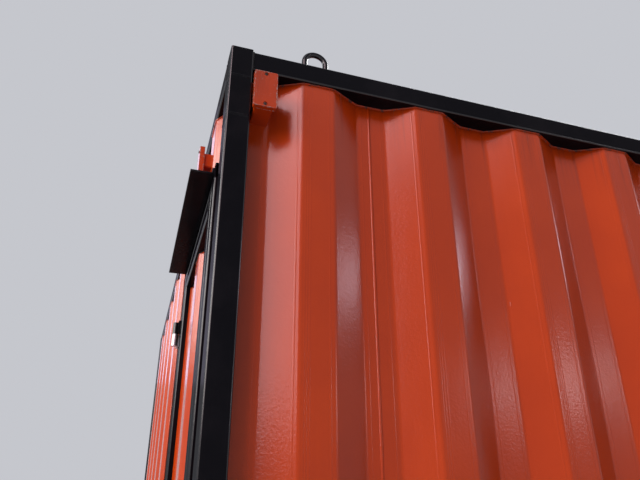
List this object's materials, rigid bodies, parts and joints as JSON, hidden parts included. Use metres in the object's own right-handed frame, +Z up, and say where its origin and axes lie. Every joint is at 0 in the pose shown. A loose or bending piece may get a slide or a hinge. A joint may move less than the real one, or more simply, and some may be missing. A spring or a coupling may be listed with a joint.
{
  "type": "shipping container cabin",
  "caption": "Steel cabin with corrugated walls in a tube frame, a narrow door beside a corner post that swings outwards, and lifting eyes on the roof rails.",
  "frame": {"origin": "centre of the base, on the ground under the middle cross member", "axes": "+Z up, +X along the length from the door end to the rear, +Y from the right side wall, which is beside the door, to the left one"},
  "size_m": [6.108, 2.465, 2.6519],
  "materials": {
    "frame_paint": "black satin enamel",
    "wall_paint": "orange-red gloss enamel, rolled on",
    "floor_wood": "bare plywood",
    "zinc": "zinc plated"
  },
  "bodies": {
    "cabin": {"corner_post_front_right": "frame_paint", "corner_post_front_left": "frame_paint", "corner_post_rear_right": "frame_paint", "corner_post_rear_left": "frame_paint", "top_rail_right": "frame_paint", "top_rail_left": "frame_paint", "top_rail_front": "frame_paint", "top_rail_rear": "frame_paint", "bottom_rail_right": "frame_paint", "bottom_rail_left": "frame_paint", "bottom_rail_front": "frame_paint", "bottom_rail_rear": "frame_paint", "floor_cross_members": "frame_paint", "floor_boards": "floor_wood", "side_wall_right": "wall_paint", "side_wall_left": "wall_paint", "rear_wall": "wall_paint", "front_wall_beside_door": "wall_paint", "front_wall_over_door": "wall_paint", "front_wall_main": "wall_paint", "roof_sheet": "wall_paint", "door_jamb_lock_side": "frame_paint", "door_jamb_hinge_side": "frame_paint", "door_head": "frame_paint", "door_sill": "frame_paint", "rain_hood": "frame_paint", "hinge_frame_halves": "zinc", "lifting_eyes": "frame_paint", "corner_box": "wall_paint", "corner_box_lid": "wall_paint", "door_box": "wall_paint", "door_box_lid": "wall_paint"},
    "door": {"leaf_stile_lock_side": "frame_paint", "leaf_stile_hinge_side": "frame_paint", "leaf_top_rail": "frame_paint", "leaf_bottom_rail": "frame_paint", "leaf_infill": "wall_paint", "hinge_leaf_halves": "frame_paint", "door_handle": "frame_paint", "door_lock": "zinc"}
  },
  "joints": [
    {"name": "door_hinge", "type": "hinge", "parent": "cabin", "child": "door", "pos_m": [-3.04, -0.4215, 1.2408], "axis": [0, 0, -1], "range_deg": [0, 170]}
  ]
}
